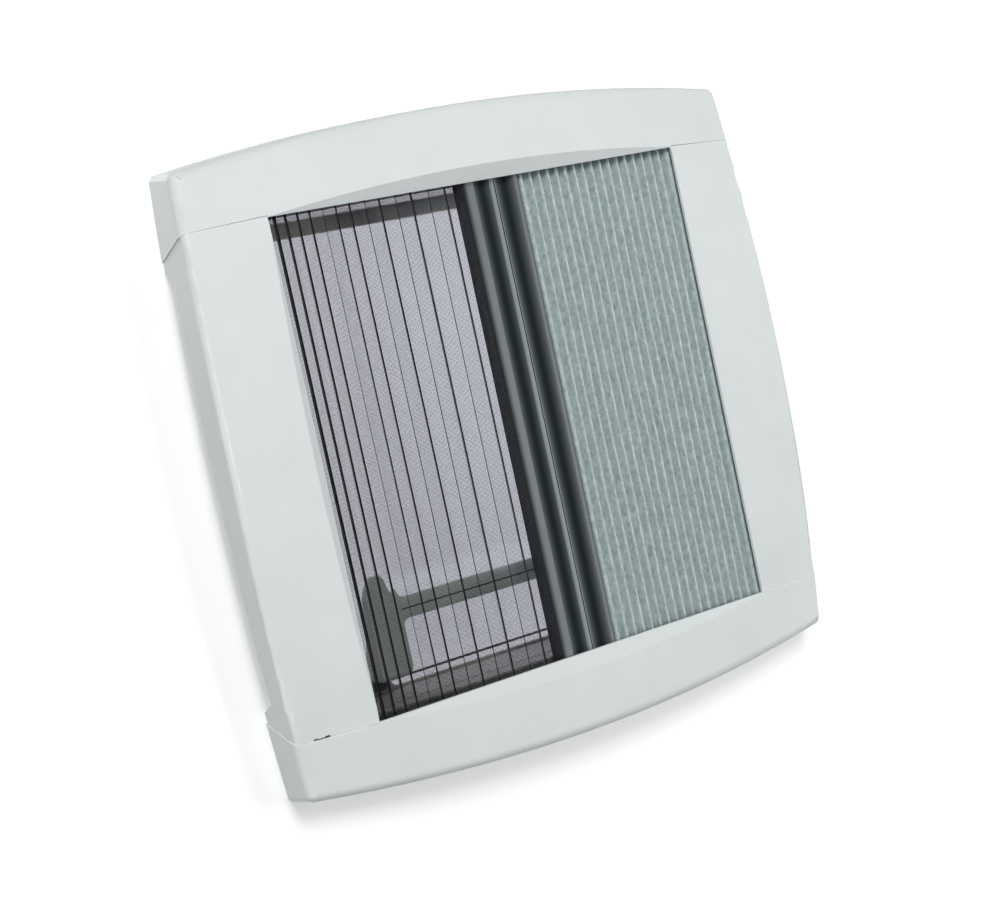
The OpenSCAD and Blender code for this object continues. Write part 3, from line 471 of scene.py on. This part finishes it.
def make_blind(material):
    """The profile carried along Y, with a slow waver of the folds that grows
    towards the middle of the cloth."""
    x, z, fold = blind_profile()
    y = np.linspace(-SCREEN_HALF, SCREEN_HALF, 61)
    grid_y, grid_x = np.meshgrid(y, x, indexing="ij")
    grid_z = np.broadcast_to(z, grid_x.shape).copy()
    free = np.cos(0.5 * np.pi * grid_y / SCREEN_HALF)
    middle = np.clip(np.minimum(grid_x - x[0], x[-1] - grid_x) / 0.02, 0, 1)
    waver = np.sin(grid_y * 31 + grid_x * 58) + 0.6 * np.sin(grid_y * 67 - grid_x * 121)
    grid_x = grid_x + 0.35 * MM * waver * free * middle
    points = np.stack([grid_x, grid_y, grid_z], -1).reshape(-1, 3)
    made = piece("blind_pleats", points, grid_faces(len(y), len(x)), "frame", material, "blind_grey_green", smooth=True)
    attribute = made.data.attributes.new("fold", "FLOAT", "POINT")
    attribute.data.foreach_set("value", np.tile(fold, len(y)).astype(np.float32))
    thick = made.modifiers.new("thickness", "SOLIDIFY")
    thick.thickness = 0.35 * MM
    thick.offset = 0
    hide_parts("blind_cloth")
    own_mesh(made)
    return made


# Small pieces at the seams of the trim and on the bow

def vertices_of(node):
    mesh = frame["nodes"][node].data
    spots = np.empty(len(mesh.vertices) * 3, np.float32)
    mesh.vertices.foreach_get("co", spots)
    return spots.reshape(-1, 3).astype(float)


SEAM_NORMAL = np.array((0.9312, 0.3644))


def seam_edge(side_y):
    """Outer edge of a cap where it meets a side panel, as (x, y, z) for the +X
    side: the corners that are furthest out on the slanted seam plane, found as
    the lower hull of the points of that plane."""
    spots = vertices_of("end_cap_opening_side" if side_y > 0 else "end_cap_hinge_side")
    spots = spots[spots[:, 0] > 0.1902]
    height = SEAM_NORMAL[0] * side_y * spots[:, 1] + SEAM_NORMAL[1] * spots[:, 2]
    on = spots[height < height.min() + 0.00002]
    on = on[np.lexsort((on[:, 2], on[:, 0]))]
    hull = []
    for x, y, z in on:
        while len(hull) > 1 and ((hull[-1][0] - hull[-2][0]) * (z - hull[-2][2])
                                 - (hull[-1][2] - hull[-2][2]) * (x - hull[-2][0])) <= 0:
            hull.pop()
        hull.append((x, y, z))
    return np.array(hull)


def make_cap_lips(material):
    """A fine rounded lip along the caps' seam edges: a six-sided bead whose
    centre line lies just inside the cap's surface."""
    turn = np.arange(6) * np.pi / 3
    radius, sunk = 0.75 * MM, 0.5 * MM
    points, faces, start = [], [], 0
    for side_y in (-1, 1):
        edge = seam_edge(side_y)
        ahead = np.array((0, side_y * SEAM_NORMAL[0], SEAM_NORMAL[1]))
        way = np.gradient(edge, axis=0)
        way /= np.linalg.norm(way, axis=1)[:, None]
        out = np.cross(way, ahead) * side_y
        out *= np.sign(-out[0, 2])
        line = edge + ahead * 0.55 * MM - out * sunk
        ring = line[:, None] + radius * (np.cos(turn)[None, :, None] * ahead + np.sin(turn)[None, :, None] * out[:, None])
        for side_x in (-1, 1):
            spots = ring.reshape(-1, 3) * (side_x, 1, 1)
            one = grid_faces(len(edge), 6, closed_columns=True)
            quads = one if side_x * side_y < 0 else one[:, ::-1]
            points.append(spots)
            faces.append(quads + start)
            start += len(spots)
    made = piece("cap_seam_lips", np.vstack(points), np.vstack(faces), "frame", material, "trim_white", smooth=True)
    turn_outward(made)
    return made


def turn_outward(made):
    """Turns the faces of closed shapes outward and closes open tube ends."""
    shape = bmesh.new()
    shape.from_mesh(made.data)
    bmesh.ops.holes_fill(shape, edges=[e for e in shape.edges if e.is_boundary], sides=0)
    bmesh.ops.recalc_face_normals(shape, faces=shape.faces)
    shape.to_mesh(made.data)
    shape.free()


def boxes(spans):
    """Boxes given by their low and high corners."""
    low, high = np.array(spans)[:, 0], np.array(spans)[:, 1]
    pick = np.array([(a, b, c) for a in (0, 1) for b in (0, 1) for c in (0, 1)])
    points = np.where(pick[None] == 1, high[:, None], low[:, None])
    sides = np.array([(0, 1, 3, 2), (4, 6, 7, 5), (0, 4, 5, 1), (2, 3, 7, 6), (0, 2, 6, 4), (1, 5, 7, 3)])
    return points.reshape(-1, 3), (sides[None] + 8 * np.arange(len(low))[:, None, None]).reshape(-1, 4)


def make_release_slot(material):
    """Near-black boxes as painted shade at the mouth of the release slot beside
    the lower left seam, in three lengths: two finger notches and the narrow slit
    between them."""
    edge = seam_edge(1)
    spans = []
    for first, last, wide in ((-243.6, -240.3, 1.0), (-240.3, -234.2, 0.5), (-234.2, -230.6, 1.3)):
        middle = -0.5 * (first + last) * MM
        y, z = np.interp(middle, edge[:, 0], edge[:, 1]), np.interp(middle, edge[:, 0], edge[:, 2])
        y -= 0.75 * MM
        spans.append(((first * MM, y - wide * MM, z - 0.12 * MM), (last * MM, y, z + 1.4 * MM)))
    # painted shade: these boxes stand in for the shade inside the slot
    return piece("release_slot_painted_shade", *boxes(spans), "frame", material, "hardware_black")


def make_grip_bead(material):
    """A rubber bead pressed into the groove of the bow's grip bar."""
    spots = vertices_of("bow_grip_bar")
    low, high = spots.min(0), spots.max(0)
    middle = 0.5 * (low[1] + high[1])
    spans = [((low[0] + 1 * MM, middle - 0.5 * MM, low[2] - 0.5 * MM), (high[0] - 1 * MM, middle + 0.5 * MM, low[2] + 1.2 * MM))]
    return piece("grip_bar_bead", *boxes(spans), "bow", material, "cord_black")


# Stage

def backdrop_material(name, seen_from_front, brightness, glow):
    """White for the eye: a matt surface that also glows a little, and more
    where the lamps don't reach, seen from one side only, so that it never hides
    the object from the other."""
    made = Finish(name)
    matt = made.add("BsdfDiffuse", Color=(brightness,) * 3 + (1,))
    out = made.add("VectorMath", {"operation": "LENGTH"}, n0=made.add("TexCoord").outputs["Object"]).outputs["Value"]
    light = made.add("Emission", Color=(1, 1, 1, 1), Strength=made.ramp(out, glow, 1.0, 0.3, 1.1, "SMOOTHSTEP"))
    both = made.add("AddShader", n0=matt.outputs[0], n1=light.outputs[0])
    clear = made.add("BsdfTransparent", Color=(1, 1, 1, 1))
    behind = made.add("NewGeometry").outputs["Backfacing"]
    order = (both, clear) if seen_from_front else (clear, both)
    pick = made.add("MixShader", Fac=behind, n1=order[0].outputs[0], n2=order[1].outputs[0])
    made.link(pick.outputs[0], made.output.inputs["Surface"])
    made.tree.nodes.remove(made.shader)
    return made.material


def stage_piece(name, points, faces, material):
    mesh = bpy.data.meshes.new(name)
    mesh.from_pydata(points, [], faces)
    mesh.materials.append(material)
    made = bpy.data.objects.new(name, mesh)
    bpy.context.scene.collection.objects.link(made)
    made.visible_shadow = False
    made.visible_diffuse = False
    return made


def make_stage():
    """A floor under the vent that shows from above, and a ceiling with the
    vent's cut-out behind the trim frame that shows from below."""
    far, floor_z = 6.0, cad_low.z - 0.0002
    stage_piece("floor", [(-far, -far, floor_z), (far, -far, floor_z), (far, far, floor_z), (-far, far, floor_z)],
                [(0, 1, 2, 3)], backdrop_material("floor_white", True, 0.9, 0.29))
    hole, z = 0.2005, -0.0325
    corners = [(-far, -far, z), (far, -far, z), (far, far, z), (-far, far, z),
               (-hole, -hole, z), (hole, -hole, z), (hole, hole, z), (-hole, hole, z)]
    stage_piece("ceiling", corners, [(4, 5, 1, 0), (5, 6, 2, 1), (6, 7, 3, 2), (7, 4, 0, 3)],
                backdrop_material("ceiling_white", True, 0.9, 0.29))


def make_world():
    """White where the eye, a gloss or clear plastic sees it, and a soft grey
    light on everything else."""
    world = bpy.data.worlds.new("studio")
    world.use_nodes = True
    bpy.context.scene.world = world
    tree = world.node_tree
    nodes = tree.nodes
    ground = nodes["Background"]
    ground.inputs["Color"].default_value = (0.97, 0.985, 1.0, 1)
    ground.inputs["Strength"].default_value = 0.14
    white = nodes.new("ShaderNodeBackground")
    white.inputs["Color"].default_value = (1, 1, 1, 1)
    path = nodes.new("ShaderNodeLightPath")
    first = nodes.new("ShaderNodeMath")
    second = nodes.new("ShaderNodeMath")
    first.operation = second.operation = "MAXIMUM"
    pick = nodes.new("ShaderNodeMixShader")
    tree.links.new(path.outputs["Is Camera Ray"], first.inputs[0])
    tree.links.new(path.outputs["Is Glossy Ray"], first.inputs[1])
    tree.links.new(first.outputs[0], second.inputs[0])
    tree.links.new(path.outputs["Is Transmission Ray"], second.inputs[1])
    tree.links.new(second.outputs[0], pick.inputs[0])
    tree.links.new(ground.outputs[0], pick.inputs[1])
    tree.links.new(white.outputs[0], pick.inputs[2])
    tree.links.new(pick.outputs[0], nodes["World Output"].inputs["Surface"])


def lamp(name, place, aim, long, wide, power, colour=(1, 1, 1)):
    """A rectangular softbox, long across the view of its aim. Clear plastic
    doesn't show it."""
    data = bpy.data.lights.new(name, "AREA")
    data.shape = "RECTANGLE"
    data.size, data.size_y = long, wide
    data.energy = power
    data.color = colour
    made = bpy.data.objects.new(name, data)
    bpy.context.scene.collection.objects.link(made)
    made.location = place
    made.rotation_mode = "QUATERNION"
    made.rotation_quaternion = (Vector(aim) - Vector(place)).to_track_quat("-Z", "Y")
    made.visible_transmission = False
    return made


def make_lamps():
    centre = (0, 0, -0.05)
    lamp("key_below", (-0.5, -1.65, -2.85), centre, 1.2, 1.2, 62)
    lamp("strip_below", (1.0, 0.13, -1.58), centre, 1.1, 0.28, 9)
    lamp("fill_left", (-2.2, 0.2, -0.4), centre, 1.0, 1.0, 15)
    lamp("key_above", (0.7, 0.9, 1.9), centre, 1.1, 1.1, 36)
    lamp("fill_above", (-0.35, -1.0, 2.0), centre, 1.3, 1.3, 22)


# Dressing

def dress():
    trim = moulded("trim_plastic", (0.745, 0.79, 0.785, 1), 0.42)
    # the second colour is the painted shade of the throat's inner walls
    white = throat_shaded("frame_plastic", (0.74, 0.77, 0.76, 1), (0.46, 0.445, 0.415, 1), 0.45)
    rail = moulded("rail_plastic", (0.20, 0.195, 0.185, 1), 0.5)
    # the bars' second colour is the painted shade of the grooves, the gap between the bars and their outer flanks
    bars = grooved("bar_plastic", (0.155, 0.18, 0.183, 1), (0.011, 0.016, 0.017, 1), (3.3 * MM, 24.4 * MM), 8.6 * MM, 0.24)
    dome_grey = moulded("dome_frame_plastic", (0.66, 0.64, 0.60, 1), 0.42, patch=0.14)
    bow = moulded("bow_plastic", (0.76, 0.82, 0.77, 1), 0.45)
    black = moulded("hardware_plastic", (0.02, 0.02, 0.022, 1), 0.4)
    steel = brushed("stay_steel", (0.62, 0.63, 0.64, 1), 0.3)
    looks = {
        "trim_white": trim, "frame_white": white, "rail_grey": rail, "seal_rubber": rubber("seal_rubber_look"),
        "hardware_black": black, "steel": steel, "cord_black": black, "mesh_black": mesh_thread("mesh_thread"),
        "blind_grey_green": pleated_fabric("blind_fabric"), "bar_grey_green": bars, "dome_grey": dome_grey,
        "acrylic_clear": acrylic("acrylic_inner", (0.95, 0.95, 0.985, 1), (0.92, 0.92, 0.94, 1)),
        "acrylic_tint": acrylic("acrylic_outer", (0.90, 0.905, 0.965, 1), (0.86, 0.86, 0.9, 1)),
        "bow_grey": bow,
    }
    for part in frame["record"]["subparts"]:
        node = frame["nodes"][part["node"]]
        node.data.materials.clear()
        node.data.materials.append(looks[part["material_slot"]])
    return looks


bpy.context.scene.view_settings.view_transform = "Standard"
make_camera()
make_world()
make_lamps()
make_stage()
looks = dress()
make_flyscreen(looks["mesh_black"], moulded("crease_black", (0.008, 0.008, 0.009, 1), 0.8, Specular_IOR_Level=0.12))
make_blind(looks["blind_grey_green"])
# painted highlight: the lips' plastic is paler than the trim so that the seam edges read as lit
make_cap_lips(moulded("lip_plastic_painted_highlight", (0.86, 0.90, 0.895, 1), 0.3))
make_release_slot(looks["hardware_black"])
make_grip_bead(looks["seal_rubber"])
